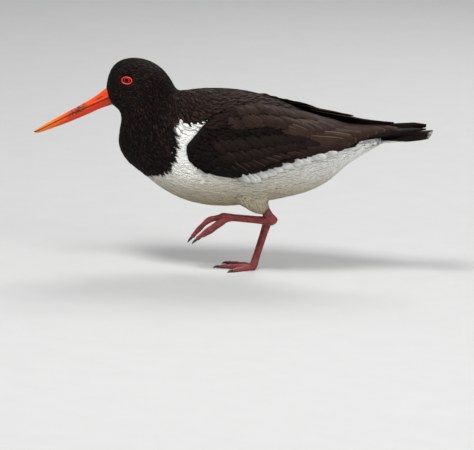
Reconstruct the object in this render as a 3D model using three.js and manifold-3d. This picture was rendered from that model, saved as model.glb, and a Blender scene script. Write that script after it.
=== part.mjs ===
// A life-size oystercatcher in mid-stride: it stands on its right leg, with the left leg lifted and
// folded. The bird faces -X, its left side is -Y, and the origin is under the ball of the standing
// foot, on the ground. Millimetres.
import * as THREE from 'three';
import { LoftGeometry } from 'three/addons/geometries/LoftGeometry.js';
import { mergeVertices } from 'three/addons/utils/BufferGeometryUtils.js';
import Module from 'manifold-3d';

const wasm = await Module();
wasm.setup();

// Driving dimensions
const GAP = 0.3; // between neighbouring pieces
const VANE = 0.6; // thickness of a feather vane
const TARSUS = { depth: 7.6, width: 5.6 };
const TOE = { root: 6.6, tip: 4.2 };
const CLAW_LENGTH = 6.5;
const EYE = { x: -133.6, z: 188.6, radius: 6.4, proud: 1.3, turn: 0.3 };
const EYE_RING = { radius: 4.95, thick: 1.5, high: 0.8, flat: 0.9 };
const RING_POINTS = 24;

// The body is a ladder of rungs from the tail to the bill. A rung has the outline's upper and lower
// point as [x, z], the half width, and how much fuller the section is above its middle.
const BODY = [
  { top: [126, 141.5], bottom: [126, 134.8], half: 12, full: 0 },
  { top: [108, 143.5], bottom: [110, 124.8], half: 15.5, full: 0 },
  { top: [86, 149.5], bottom: [90, 110.5], half: 21, full: 0 },
  { top: [62, 157.2], bottom: [70, 91.5], half: 27.5, full: 0 },
  { top: [38, 166], bottom: [46, 79], half: 34, full: -0.03 },
  { top: [12, 175.5], bottom: [16, 71.5], half: 39.5, full: -0.05 },
  { top: [-14, 181.6], bottom: [-14, 64.5], half: 42.5, full: -0.06 },
  { top: [-40, 183.4], bottom: [-44, 62.5], half: 43, full: -0.06 },
  { top: [-60, 182.2], bottom: [-72, 67.3], half: 41.5, full: -0.06 },
  { top: [-72, 180.4], bottom: [-96, 78.5], half: 39.5, full: -0.05 },
  { top: [-79, 179], bottom: [-116, 93], half: 36.5, full: -0.04 },
  { top: [-82.6, 178.8], bottom: [-131.5, 104.8], half: 33, full: -0.02 },
  { top: [-85, 182], bottom: [-139.8, 119], half: 29.5, full: 0 },
  { top: [-89, 188.5], bottom: [-140.3, 133], half: 26.5, full: 0 },
  { top: [-95.5, 196.8], bottom: [-138.9, 146], half: 24, full: 0 },
  { top: [-104.5, 203.7], bottom: [-140.2, 153], half: 22.3, full: 0 },
  { top: [-117, 208.3], bottom: [-143.4, 156.8], half: 21, full: 0.04 },
  { top: [-130, 209.2], bottom: [-145.6, 158.2], half: 19, full: 0.06 },
  { top: [-141.5, 206.2], bottom: [-147, 159], half: 16, full: 0.05 },
  { top: [-149, 199.5], bottom: [-147.7, 159.3], half: 13, full: 0.03 },
  { top: [-153, 190], bottom: [-148, 159.5], half: 10.2, full: 0 },
  { top: [-154.5, 181.5], bottom: [-148.2, 159.8], half: 8, full: 0 },
  { top: [-154.9, 177.4], bottom: [-148.3, 159.9], half: 6.9, full: 0 },
];
const CUT = { tail: 2.4, neck: 11.6, head: 14.6, face: BODY.length - 1 }; // where the ladder is parted

// The bill: culmen, line of the mouth and underside as [x, z], with the half width there.
const BILL = [
  { top: [-155.1, 176.2], mouth: [-151.9, 167.6], bottom: [-149, 160.2], half: 5.6 },
  { top: [-162, 170.2], mouth: [-160, 163.6], bottom: [-159.5, 156], half: 4.7 },
  { top: [-172, 163], mouth: [-170.6, 158.2], bottom: [-172, 149.6], half: 3.8 },
  { top: [-188, 153.2], mouth: [-189, 149], bottom: [-189.5, 141.2], half: 2.9 },
  { top: [-205, 143], mouth: [-207, 138.8], bottom: [-206.5, 134], half: 2 },
  { top: [-219.5, 133.6], mouth: [-220, 131.4], bottom: [-218.5, 129.2], half: 1.3 },
  { top: [-224, 130.2], mouth: [-224.1, 129.6], bottom: [-223.6, 128.8], half: 0.9 },
];
const NOSTRIL = { from: [-166.5, 163.6], to: [-158.8, 168.6], height: 1.1, depth: 1.6 };

// The outer skin of a folded wing: an upright ellipse round the body at each x.
const WING_SKIN = [
  { x: -78, middle: 127, rise: 54, half: 42 },
  { x: -40, middle: 124, rise: 59, half: 46.8 },
  { x: 0, middle: 124, rise: 56, half: 47.5 },
  { x: 40, middle: 127, rise: 40.5, half: 41.5 },
  { x: 66, middle: 129, rise: 29.5, half: 33 },
  { x: 86, middle: 132, rise: 21.5, half: 26 },
  { x: 102, middle: 136, rise: 16, half: 20 },
  { x: 130, middle: 141, rise: 11.5, half: 12.5 },
  { x: 178, middle: 150, rise: 5, half: 4 },
];
// The right wing rides higher toward its tip.
const FAR_WING_LIFT = [[-80, 0], [20, 0], [66, 5], [88, 7.5], [110, 5.5], [130, 4], [160, 6.5], [178, 8]];
// The wing's own mass of coverts: its upper and lower edge as angles from the back's ridge, in degrees.
const WING_MASS = [
  { x: -71.5, upper: 87, lower: 92 },
  { x: -70, upper: 84, lower: 98 },
  { x: -66, upper: 78, lower: 104 },
  { x: -58, upper: 66, lower: 109 },
  { x: -46, upper: 52, lower: 113 },
  { x: -20, upper: 36, lower: 117 },
  { x: -4, upper: 32, lower: 108 },
  { x: 12, upper: 29, lower: 100 },
  { x: 40, upper: 24, lower: 93 },
  { x: 62, upper: 22, lower: 90 },
  { x: 84, upper: 34, lower: 80 },
];
const WING_DEPTH = 9; // how deep the mass is drawn before the torso is cut away

// Rows of feathers. Each row runs from its first feather to its last: root and tip as [x, degrees],
// width, and how far root and tip lie outside the wing's skin.
const FEATHER_ROWS = [
  {
    name: 'scapulars', count: 4, width: [18, 17], out: [-1.6, 1.4],
    root: [[-46, 50], [16, 30]], tip: [[-14, 60], [60, 40]],
  },
  {
    name: 'rear_scapulars', count: 3, width: [17, 15], out: [-1.6, 1.1],
    root: [[8, 50], [36, 26]], tip: [[48, 67], [86, 38]],
  },
  {
    name: 'greater_coverts', count: 6, width: [15, 14], out: [-1.7, 0.6],
    root: [[-34, 97], [48, 78]], tip: [[-12, 114], [80, 88]],
  },
  {
    name: 'white_bar', count: 5, width: [16, 14], out: [-2.6, -0.9],
    root: [[-30, 105], [44, 87]], tip: [[-4, 120], [74, 101]],
  },
  {
    name: 'tertials', count: 4, width: [17, 15], out: [-1.8, 0.5],
    root: [[34, 70], [50, 19]], tip: [[84, 81], [134, 22]],
  },
  {
    name: 'primaries', count: 4, width: [11, 9], out: [-3.0, -1.1],
    root: [[60, 76], [66, 44]], tip: [[118, 85], [167, 55]],
  },
];
const SHINGLE = 0.12; // rise of a vane from its lower to its upper edge, for each millimetre of width

const TAIL = { pairs: 6, root: [104, 136.5], tip: [172.5, 149], spread: 17, width: 11, layer: 0.8 };

const v = (x, y, z) => new THREE.Vector3(x, y, z);
const radians = THREE.MathUtils.degToRad;
const mix = THREE.MathUtils.lerp;
const onPlan = ([x, z], y = 0) => v(x, y, z);

// A closed geometry as a solid, turned to face out.
function solid(geometry) {
  const bare = geometry.index ? geometry.toNonIndexed() : geometry.clone();
  for (const name of ['normal', 'uv']) bare.deleteAttribute(name);
  const merged = mergeVertices(bare, 1e-4);
  const make = (triVerts) =>
    new wasm.Manifold(
      new wasm.Mesh({ numProp: 3, vertProperties: merged.attributes.position.array, triVerts }),
    );
  const faces = new Uint32Array(merged.index.array);
  const made = make(faces);
  return made.volume() > 0 ? made : make(faces.reverse());
}

// A capped loft through rings, each turned to run anticlockwise as seen from the loft's end.
function loft(rings) {
  const centre = (ring) => ring.reduce((sum, p) => sum.add(p), v(0, 0, 0)).divideScalar(ring.length);
  const [first, second] = rings;
  const from = centre(first);
  const along = centre(second).sub(from);
  const area = v(0, 0, 0);
  first.forEach((p, i) => {
    const next = first[(i + 1) % first.length];
    area.add(p.clone().sub(from).cross(next.clone().sub(from)));
  });
  const turned = area.dot(along) < 0 ? rings.map((ring) => ring.slice().reverse()) : rings;
  return solid(new LoftGeometry(turned, { capStart: true, capEnd: true }));
}

// The largest closed surface of a solid, with any hollow in it filled.
function largest(made) {
  const bodies = made.decompose().sort((a, b) => b.volume() - a.volume());
  return bodies[0];
}

const join = (first, ...rest) => rest.reduce((all, next) => all.add(next), first);
const cut = (first, ...rest) => rest.reduce((all, next) => all.subtract(next), first);

// A named mesh of a solid, in one plain material.
function node(name, made, material) {
  const { numProp, numVert, vertProperties, triVerts } = largest(made).getMesh();
  const position = new Float32Array(numVert * 3);
  for (let i = 0; i < numVert; i++) {
    position.set(vertProperties.subarray(i * numProp, i * numProp + 3), i * 3);
  }
  const geometry = new THREE.BufferGeometry()
    .setAttribute('position', new THREE.BufferAttribute(position, 3))
    .setIndex(new THREE.BufferAttribute(triVerts, 1));
  geometry.computeVertexNormals();
  const mesh = new THREE.Mesh(geometry, material);
  mesh.name = name;
  return mesh;
}

const finish = (color, roughness, metalness = 0) =>
  new THREE.MeshStandardMaterial({ color, roughness, metalness });
const MATERIAL = {
  black: finish('#17130f', 0.7),
  brown: finish('#241b15', 0.65),
  white: finish('#e8e4da', 0.8),
  bill: finish('#e8451a', 0.35),
  eye: finish('#c8170c', 0.1),
  ring: finish('#e0301a', 0.5),
  leg: finish('#a8433f', 0.5),
  claw: finish('#1c1715', 0.4),
};

// Body: curves through the rungs, read by rung number.
const rungCurve = (pick) => new THREE.CatmullRomCurve3(BODY.map(pick), false, 'centripetal');
const topLine = rungCurve((r) => onPlan(r.top));
const bottomLine = rungCurve((r) => onPlan(r.bottom));
const fullness = rungCurve((r, i) => v(i, r.half, r.full));

function bodyRing(rung, grow) {
  const t = rung / (BODY.length - 1);
  const top = topLine.getPoint(t);
  const bottom = bottomLine.getPoint(t);
  const { y: half, z: full } = fullness.getPoint(t);
  const middle = top.clone().add(bottom).multiplyScalar(0.5);
  const up = top.clone().sub(middle);
  up.setLength(up.length() + grow);
  const ring = [];
  for (let i = 0; i < RING_POINTS; i++) {
    const angle = (2 * Math.PI * i) / RING_POINTS;
    const side = Math.sin(angle) * (half + grow) * (1 + full * Math.cos(angle));
    ring.push(middle.clone().addScaledVector(up, Math.cos(angle)).setY(side));
  }
  return ring;
}

function bodyPiece(from, to, steps, grow = 0) {
  const rings = [];
  for (let i = 0; i <= steps; i++) rings.push(bodyRing(mix(from, to, i / steps), grow));
  return loft(rings);
}

// How far along the ladder, in rungs, half of the gap reaches at a cut.
function halfGap(rung) {
  const step = 0.01;
  const a = bodyRing(rung, 0);
  const b = bodyRing(rung + step, 0);
  const nearest = Math.min(...a.map((p, i) => p.distanceTo(b[i])));
  return (step * GAP) / 2 / nearest;
}

// A limb along a path of { at: [x, y, z], deep, wide }: oval rings square to the path.
function limb(stations, points = 12, grow = 0) {
  const path = stations.map((s) => v(...s.at));
  const rings = path.map((p, i) => {
    const along = path[Math.min(i + 1, path.length - 1)].clone().sub(path[Math.max(i - 1, 0)]).normalize();
    const side = v(0, 1, 0).addScaledVector(along, -along.y).normalize();
    const front = new THREE.Vector3().crossVectors(along, side);
    return Array.from({ length: points }, (_, k) => {
      const angle = (2 * Math.PI * k) / points;
      return p
        .clone()
        .addScaledVector(side, Math.cos(angle) * (stations[i].wide / 2 + grow))
        .addScaledVector(front, Math.sin(angle) * (stations[i].deep / 2 + grow));
    });
  });
  return loft(rings);
}

function ball(centre, radius, detail = 16) {
  return solid(new THREE.SphereGeometry(radius, detail, detail / 2).translate(...centre));
}

function block(low, high) {
  const size = high.map((h, i) => h - low[i]);
  const middle = high.map((h, i) => (h + low[i]) / 2);
  return solid(new THREE.BoxGeometry(...size).translate(...middle));
}

// A thin closed plate over a surface: at(s, t) gives its middle point and outward direction, with s
// along from 0 to 1 and t across from -1 to 1. Both faces are split into triangles alike.
function plate(at, along, across, thick) {
  const position = [];
  const index = [];
  const row = across + 1;
  const face = (along + 1) * row;
  for (const side of [1, -1])
    for (let i = 0; i <= along; i++)
      for (let j = 0; j <= across; j++) {
        const { point, out } = at(i / along, (2 * j) / across - 1);
        position.push(...point.addScaledVector(out, (side * thick) / 2).toArray());
      }
  const quad = (a, b, c, d) => index.push(a, b, c, a, c, d);
  for (let i = 0; i < along; i++)
    for (let j = 0; j < across; j++) {
      const a = i * row + j;
      quad(a, a + 1, a + row + 1, a + row);
      index.push(face + a, face + a + row + 1, face + a + 1, face + a, face + a + row, face + a + row + 1);
    }
  const rim = [];
  for (let j = 0; j < across; j++) rim.push(j);
  for (let i = 0; i < along; i++) rim.push(i * row + across);
  for (let j = across; j > 0; j--) rim.push(along * row + j);
  for (let i = along; i > 0; i--) rim.push(i * row);
  rim.forEach((a, i) => {
    const b = rim[(i + 1) % rim.length];
    quad(b, a, face + a, face + b);
  });
  const geometry = new THREE.BufferGeometry();
  geometry.setAttribute('position', new THREE.Float32BufferAttribute(position, 3));
  return solid(geometry.setIndex(index));
}

// Half width of a feather along its length, as a share: narrow quill, full vane and round tip.
const featherOutline = (s) => {
  const tip = Math.max(0, (s - 0.55) / 0.47) ** 2.6;
  return mix(0.55, 1, Math.min(1, s * 2.5)) * Math.sqrt(Math.max(0.06, 1 - tip));
};

// Reads a table of stations by x, in straight steps.
function read(table, x, pick) {
  const last = table.length - 1;
  const i = Math.max(0, Math.min(last - 1, table.findIndex((r) => pick(r)[0] > x) - 1));
  const k = x >= pick(table[last])[0] ? last - 1 : i;
  const [x0, ...a] = pick(table[k]);
  const [x1, ...b] = pick(table[k + 1]);
  const share = Math.max(0, Math.min(1, (x - x0) / (x1 - x0)));
  return a.map((value, n) => mix(value, b[n], share * share * (3 - 2 * share) * 0.3 + share * 0.7));
}

// The level that keeps a wing feather clear of the tail's upper side.
const overTail = (x, y) =>
  mix(TAIL.root[1], TAIL.tip[1], (x - TAIL.root[0]) / (TAIL.tip[0] - TAIL.root[0])) - 0.002 * y * y + 1.4;

// A folded wing on the bird's left (side -1) or right (side 1).
function makeWing(side, torsoRoom) {
  const lift = (x) => (side > 0 ? read(FAR_WING_LIFT, x, (r) => r)[0] : 0);
  const skin = (x, degrees, out) => {
    const [middle, rise, half] = read(WING_SKIN, x, (r) => [r.x, r.middle, r.rise, r.half]);
    const angle = radians(degrees);
    const up = rise + lift(x) * Math.max(0, Math.cos(angle));
    return v(x, side * (half + out) * Math.sin(angle), middle + (up + out) * Math.cos(angle));
  };
  const wrap = (x, degrees) => {
    const [, rise, half] = read(WING_SKIN, x, (r) => [r.x, r.middle, r.rise, r.half]);
    return radians(1) * Math.hypot(half * Math.cos(radians(degrees)), rise * Math.sin(radians(degrees)));
  };

  const stations = 16;
  const arc = 6;
  const first = WING_MASS[0].x;
  const last = WING_MASS[WING_MASS.length - 1].x;
  const sections = [];
  for (let i = 0; i <= stations; i++) {
    const x = mix(first, last, (i / stations) ** 1.25);
    const [upper, lower] = read(WING_MASS, x, (r) => [r.x, r.upper, r.lower]);
    const section = [];
    const depth = Math.min(WING_DEPTH, (WING_DEPTH * (last - x)) / 50 + 2.6);
    for (let j = 0; j <= arc; j++) {
      section.push(skin(x, mix(upper, lower, j / arc), -0.9 * Math.abs((2 * j) / arc - 1) ** 4));
    }
    for (let j = arc; j >= 0; j -= 3) section.push(skin(x, mix(upper, lower, j / arc), -depth));
    sections.push(section);
  }
  const mass = loft(sections);

  const vanes = [];
  for (const row of FEATHER_ROWS)
    for (let k = 0; k < row.count; k++) {
      const share = k / (row.count - 1);
      const between = ([a, b]) => a.map((value, n) => mix(value, b[n], share));
      const root = between(row.root);
      const tip = between(row.tip);
      const width = mix(...row.width, share);
      const run = tip[0] - root[0];
      const drop = (tip[1] - root[1]) * wrap(...root);
      const length = Math.hypot(run, drop);
      const at = (s, t) => {
        const across = (t * featherOutline(s) * width) / 2;
        const x = mix(root[0], tip[0], s) - (across * drop) / length;
        const middle = mix(root[1], tip[1], s);
        const degrees = middle + (across * run) / length / wrap(x, middle);
        const out = mix(...row.out, Math.min(1, s * 1.6)) - SHINGLE * across - 0.25 * t * t;
        const point = skin(x, degrees, out);
        const normal = skin(x, degrees, out + 1).sub(point).normalize();
        if (x > 96) point.z = Math.max(point.z, overTail(x, point.y) + 0.4 * (row.count - k));
        return { point, out: normal };
      };
      vanes.push(plate(at, length > 45 ? 5 : 4, width > 14 ? 2 : 1, VANE));
    }
  return cut(join(mass, ...vanes), torsoRoom);
}

function makeTail(core) {
  const vanes = [];
  for (const side of [-1, 1])
    for (let i = 0; i < TAIL.pairs; i++) {
      const fan = (i + 0.5) / TAIL.pairs;
      const [rootX, rootZ] = TAIL.root;
      const [tipX, tipZ] = TAIL.tip;
      const end = tipX - 5 * fan * fan;
      const at = (s, t) => {
        const x = mix(rootX, end, s);
        const across = (t * featherOutline(s) * TAIL.width) / 2;
        const y = side * (mix(4 * fan, TAIL.spread * fan, s) + across);
        const sag = TAIL.layer * i + (side < 0 ? 0.4 : 0) - 0.06 * side * across;
        return { point: v(x, y, mix(rootZ, tipZ, s) - sag - 0.004 * y * y), out: v(0, 0, 1) };
      };
      vanes.push(plate(at, 4, 2, VANE));
    }
  return join(core, ...vanes);
}

// Bill: the two halves are lofts that meet at the line of the mouth.
function billHalf(upper) {
  const sections = BILL.map(({ top, mouth, bottom, half }) => {
    const from = onPlan(mouth);
    const towards = onPlan(upper ? top : bottom).sub(from);
    const start = from.addScaledVector(towards.clone().normalize(), GAP / 2);
    const points = 8;
    return Array.from({ length: points + 1 }, (_, k) => {
      const angle = (Math.PI * k) / points;
      const edge = Math.sign(Math.cos(angle)) * Math.abs(Math.cos(angle)) ** 0.8 * half;
      return start.clone().addScaledVector(towards, Math.sin(angle) * 0.985).setY(edge);
    });
  });
  return loft(sections);
}

function nostril(side) {
  const [a, b] = [onPlan(NOSTRIL.from), onPlan(NOSTRIL.to)];
  const box = new THREE.BoxGeometry(a.distanceTo(b), NOSTRIL.depth * 2, NOSTRIL.height);
  box.rotateY(-Math.atan2(b.z - a.z, b.x - a.x));
  const middle = a.add(b).multiplyScalar(0.5);
  return solid(box.translate(middle.x, side * 4.4, middle.z));
}

// Eye: ball, fleshy ring, and the room that both need in the head.
function makeEye(side, headHalf) {
  const out = v(-Math.sin(EYE.turn), side * Math.cos(EYE.turn), 0.05).normalize();
  const centre = v(EYE.x, side * headHalf, EYE.z).addScaledVector(out, EYE.proud - EYE.radius);
  const ringAt = v(EYE.x, side * headHalf, EYE.z).addScaledVector(out, -0.1);
  const torus = (thick) => {
    const ring = new THREE.TorusGeometry(EYE_RING.radius, thick / 2, 6, 16);
    ring.scale(1.04, EYE_RING.high, EYE_RING.flat);
    const turn = new THREE.Quaternion().setFromUnitVectors(v(0, 0, 1), out);
    return solid(ring.applyQuaternion(turn).translate(...ringAt.toArray()));
  };
  const room = ball(centre.toArray(), EYE.radius + GAP, 16);
  return {
    ball: ball(centre.toArray(), EYE.radius, 16),
    ring: cut(torus(EYE_RING.thick), room),
    room: join(room, torus(EYE_RING.thick + 2 * GAP)),
  };
}

// Leg paths, from the belly down. The left leg is lifted, with its tarsus level; the right one stands.
const HOCK = { left: [17.5, -17, 53.2], right: [13.4, 12, 51] };
const KNUCKLE = { left: [-33, -15.5, 55.2], right: [0, 0, 3] };
const thighPath = {
  left: [
    { at: [-16, -22, 92], deep: 34, wide: 22 },
    { at: [-6, -21, 78], deep: 30, wide: 20 },
    { at: [5, -20, 68.5], deep: 20, wide: 15 },
    { at: [10.5, -19, 63.6], deep: 11.5, wide: 9.5 },
  ],
  right: [
    { at: [-10, 22, 92], deep: 34, wide: 22 },
    { at: [-2, 20, 78], deep: 29, wide: 20 },
    { at: [5, 17.5, 68], deep: 19, wide: 15 },
    { at: [8.6, 15.6, 62.6], deep: 11.5, wide: 9.5 },
  ],
};

function shank(thigh, hock) {
  const top = v(...thigh[thigh.length - 1].at);
  const before = v(...thigh[thigh.length - 2].at);
  const end = v(...hock);
  const start = top.clone().addScaledVector(top.clone().sub(before).normalize(), GAP);
  const point = (s) => start.clone().lerp(end, s).toArray();
  const beyond = end.clone().addScaledVector(end.clone().sub(start).normalize(), 3.6).toArray();
  return [
    { at: point(0), deep: 8.4, wide: 7 },
    { at: point(0.4), deep: 8.6, wide: 7.2 },
    { at: point(0.75), deep: 10.4, wide: 8.4 },
    { at: point(1), deep: 11.4, wide: 9 },
    { at: beyond, deep: 8, wide: 6.4 },
  ];
}

function tarsus(hock, knuckle, spread) {
  const point = (s) => v(...hock).lerp(v(...knuckle), s).toArray();
  const { depth, width } = TARSUS;
  return [
    { at: point(0.02), deep: depth * 1.2, wide: width * 1.3 },
    { at: point(0.14), deep: depth * 1.16, wide: width * 1.2 },
    { at: point(0.3), deep: depth, wide: width },
    { at: point(0.7), deep: depth * 0.95, wide: width },
    { at: point(0.9), deep: depth * 1.05, wide: width * 1.3 },
    { at: point(1), deep: depth * 1.02, wide: width * spread },
    { at: point(1.06), deep: depth * 0.8, wide: width * spread * 0.8 },
  ];
}

// A toe along its joints: a little thicker at each joint pad than between them.
function toe(joints, points = 9, grow = 0) {
  const curve = new THREE.CatmullRomCurve3(joints.map((j) => v(...j)), false, 'centripetal');
  const steps = 3 * (joints.length - 1);
  const stations = Array.from({ length: steps + 1 }, (_, i) => {
    const s = i / steps;
    const pad = 1 + 0.07 * Math.cos(2 * Math.PI * s * (joints.length - 1));
    const size = mix(TOE.root, TOE.tip, s) * pad * (i === steps ? 0.72 : 1);
    return { at: curve.getPoint(s).toArray(), deep: size, wide: size * 0.95 };
  });
  return limb(stations, points, grow);
}

function claw(joints) {
  const last = v(...joints[joints.length - 1]);
  const along = last.clone().sub(v(...joints[joints.length - 2])).normalize();
  const down = along.z < -0.3 ? v(0.25, 0, -0.2) : v(0, 0, -1);
  const at = (s, drop) =>
    last.clone().addScaledVector(along, GAP + CLAW_LENGTH * s).addScaledVector(down, drop).toArray();
  return limb([
    { at: at(0, 0), deep: 2.9, wide: 2.4 },
    { at: at(0.35, -0.2), deep: 2.4, wide: 1.9 },
    { at: at(0.7, 0.3), deep: 1.6, wide: 1.2 },
    { at: at(1, 1.3), deep: 0.6, wide: 0.6 },
  ], 8);
}

const TOES = {
  left: {
    middle: [[-34, -15.5, 54.4], [-46, -15, 51], [-56, -14.5, 40.8], [-62.6, -14, 32.4]],
    outer: [[-31.5, -19, 52], [-41.5, -21, 46], [-51, -21, 38], [-57.6, -20.5, 31.8]],
    inner: [[-31, -12, 50.4], [-38.5, -9.6, 43.4], [-46.5, -8.6, 37], [-52.8, -8.2, 33]],
  },
  right: {
    middle: [[-1, 0, 2.6], [-12, -0.4, 2.2], [-23, -0.7, 1.8], [-33.5, -1, 1.5]],
    outer: [[0, 2.6, 2.6], [-8.6, 9.6, 2.2], [-17.5, 15.4, 1.8], [-25.6, 20, 1.5]],
    inner: [[0, -2.6, 2.6], [-8, -8.6, 2.2], [-15, -14.4, 1.8], [-20.8, -19.4, 1.5]],
  },
};

function makeLeg(name, material, torsoRoom, floor) {
  const thigh = cut(limb(thighPath[name], 16), torsoRoom);
  const shankPath = shank(thighPath[name], HOCK[name]);
  const tarsusPath = tarsus(HOCK[name], KNUCKLE[name], 1.55);
  const shankSolid = cut(limb(shankPath, 14), limb(thighPath[name], 16, GAP));
  const tarsusSolid = cut(limb(tarsusPath, 14), limb(shankPath, 14, GAP));
  const tarsusRoom = join(limb(tarsusPath, 14, GAP));
  const above = (made) => (name === 'right' ? cut(made, floor) : made);
  const middleRoom = toe(TOES[name].middle, 9, GAP);
  const pieces = [
    node(`thigh_${name}`, thigh, MATERIAL.white),
    node(`shank_${name}`, shankSolid, material),
    node(`tarsus_${name}`, above(tarsusSolid), material),
  ];
  for (const [toeName, joints] of Object.entries(TOES[name])) {
    const rooms = toeName === 'middle' ? [tarsusRoom] : [tarsusRoom, middleRoom];
    pieces.push(node(`toe_${toeName}_${name}`, above(cut(toe(joints), ...rooms)), material));
    pieces.push(node(`claw_${toeName}_${name}`, above(claw(joints)), MATERIAL.claw));
  }
  return pieces;
}

const torsoRoom = join(bodyPiece(0, CUT.neck, 40, GAP));
const tail = largest(makeTail(bodyPiece(0, CUT.tail - halfGap(CUT.tail), 8)));
const torso = bodyPiece(CUT.tail + halfGap(CUT.tail), CUT.neck - halfGap(CUT.neck), 24);
const neck = bodyPiece(CUT.neck + halfGap(CUT.neck), CUT.head - halfGap(CUT.head), 8);

const eyes = { left: makeEye(-1, 18.4), right: makeEye(1, 18.4) };
const head = cut(bodyPiece(CUT.head + halfGap(CUT.head), CUT.face, 14), eyes.left.room, eyes.right.room);

const bird = new THREE.Group();
bird.add(
  node('torso', torso, MATERIAL.white),
  node('neck', neck, MATERIAL.black),
  node('head', head, MATERIAL.black),
  node('tail', tail, MATERIAL.black),
  node('bill_upper', cut(billHalf(true), nostril(-1), nostril(1)), MATERIAL.bill),
  node('bill_lower', billHalf(false), MATERIAL.bill),
);
for (const [name, eye] of Object.entries(eyes))
  bird.add(node(`eye_${name}`, eye.ball, MATERIAL.eye), node(`eye_ring_${name}`, eye.ring, MATERIAL.ring));

for (const [name, side] of [['left', -1], ['right', 1]]) {
  bird.add(node(`wing_${name}`, makeWing(side, torsoRoom), MATERIAL.brown));
}

const floor = block([-80, -60, -20], [60, 60, 0]);
for (const name of ['left', 'right']) bird.add(...makeLeg(name, MATERIAL.leg, torsoRoom, floor));

export default bird;
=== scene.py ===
"""Oystercatcher: a life-size wading bird in mid-stride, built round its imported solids.

The bird faces -X, its left side is -Y and +Z is up. Sizes in the tables are in millimetres, and
every finished mesh is in metres.
"""
import itertools
import math
from functools import partialmethod

import bmesh
import bpy
import numpy as np
from bpy.props import FloatProperty, FloatVectorProperty, IntProperty, PointerProperty
from mathutils import Matrix, Vector
from mathutils.bvhtree import BVHTree


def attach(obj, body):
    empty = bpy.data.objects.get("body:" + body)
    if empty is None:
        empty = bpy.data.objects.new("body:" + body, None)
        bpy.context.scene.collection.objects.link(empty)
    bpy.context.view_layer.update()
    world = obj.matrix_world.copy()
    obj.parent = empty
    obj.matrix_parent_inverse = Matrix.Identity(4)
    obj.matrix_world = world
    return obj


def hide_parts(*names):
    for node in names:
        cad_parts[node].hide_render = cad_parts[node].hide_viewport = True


bl_info = {
    "name": "Oystercatcher",
    "version": (1, 0, 0),
    "blender": (4, 5, 0),
    "location": "View3D > Sidebar > Oystercatcher",
    "description": "Builds a life-size oystercatcher in mid-stride",
    "category": "Add Mesh",
}

MM = 0.001
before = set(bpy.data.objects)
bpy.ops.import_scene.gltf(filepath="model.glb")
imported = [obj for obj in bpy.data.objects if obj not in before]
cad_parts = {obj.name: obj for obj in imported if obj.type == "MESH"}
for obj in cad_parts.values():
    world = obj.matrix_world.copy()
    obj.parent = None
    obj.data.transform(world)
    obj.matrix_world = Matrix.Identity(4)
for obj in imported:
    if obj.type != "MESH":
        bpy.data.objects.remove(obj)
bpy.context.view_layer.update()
SIDES = {"left": -1, "right": 1}

# Bill: culmen, line of the mouth and underside as (x, z), with the half width there.
BILL = [
    ((-151.0, 177.6), (-148.5, 168.8), (-145.5, 160.8), 6.0),
    ((-155.1, 176.2), (-151.9, 167.6), (-149.0, 160.2), 5.7),
    ((-162.0, 170.2), (-160.0, 163.6), (-159.5, 156.0), 4.8),
    ((-172.0, 163.0), (-170.6, 158.2), (-172.0, 149.6), 3.9),
    ((-188.0, 153.2), (-189.0, 149.0), (-189.5, 141.2), 3.0),
    ((-205.0, 143.0), (-207.0, 138.8), (-206.5, 134.0), 2.1),
    ((-219.5, 133.6), (-220.0, 131.4), (-218.5, 129.2), 1.35),
    ((-223.9, 130.2), (-224.0, 129.6), (-223.5, 128.9), 0.8),
]

# Eye: place on the side of the head, ball radius, how far it stands out, and its turn to the front.
EYE = {"x": -133.6, "y": 18.4, "z": 188.6, "radius": 6.4, "proud": 1.3, "turn": 0.3}

# Outer skin of a folded wing, as x, middle, rise and half width of an upright ellipse.
WING_SKIN = np.array([
    (-78, 127, 54, 42),
    (-40, 124, 59, 46.8),
    (0, 124, 56, 47.5),
    (40, 127, 40.5, 41.5),
    (66, 129, 29.5, 33),
    (86, 132, 21.5, 26),
    (102, 136, 16, 20),
    (130, 141, 11.5, 12.5),
    (178, 150, 5, 4),
], float)
# How much higher the ridge of the far wing lies, at each x.
FAR_WING_LIFT = np.array([
    (-80, 0), (20, 0), (66, 5), (88, 7.5), (110, 5.5), (130, 4), (160, 6.5), (178, 8),
], float)

# The wing's mass of coverts: x, upper and lower edge in degrees from the ridge of the back.
WING_MASS = np.array([
    (-71.5, 87, 92),
    (-70, 84, 98),
    (-66, 78, 104),
    (-58, 66, 109),
    (-46, 52, 113),
    (-20, 36, 117),
    (-4, 32, 108),
    (12, 29, 100),
    (40, 24, 93),
    (62, 22, 90),
    (84, 34, 80),
], float)

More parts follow.
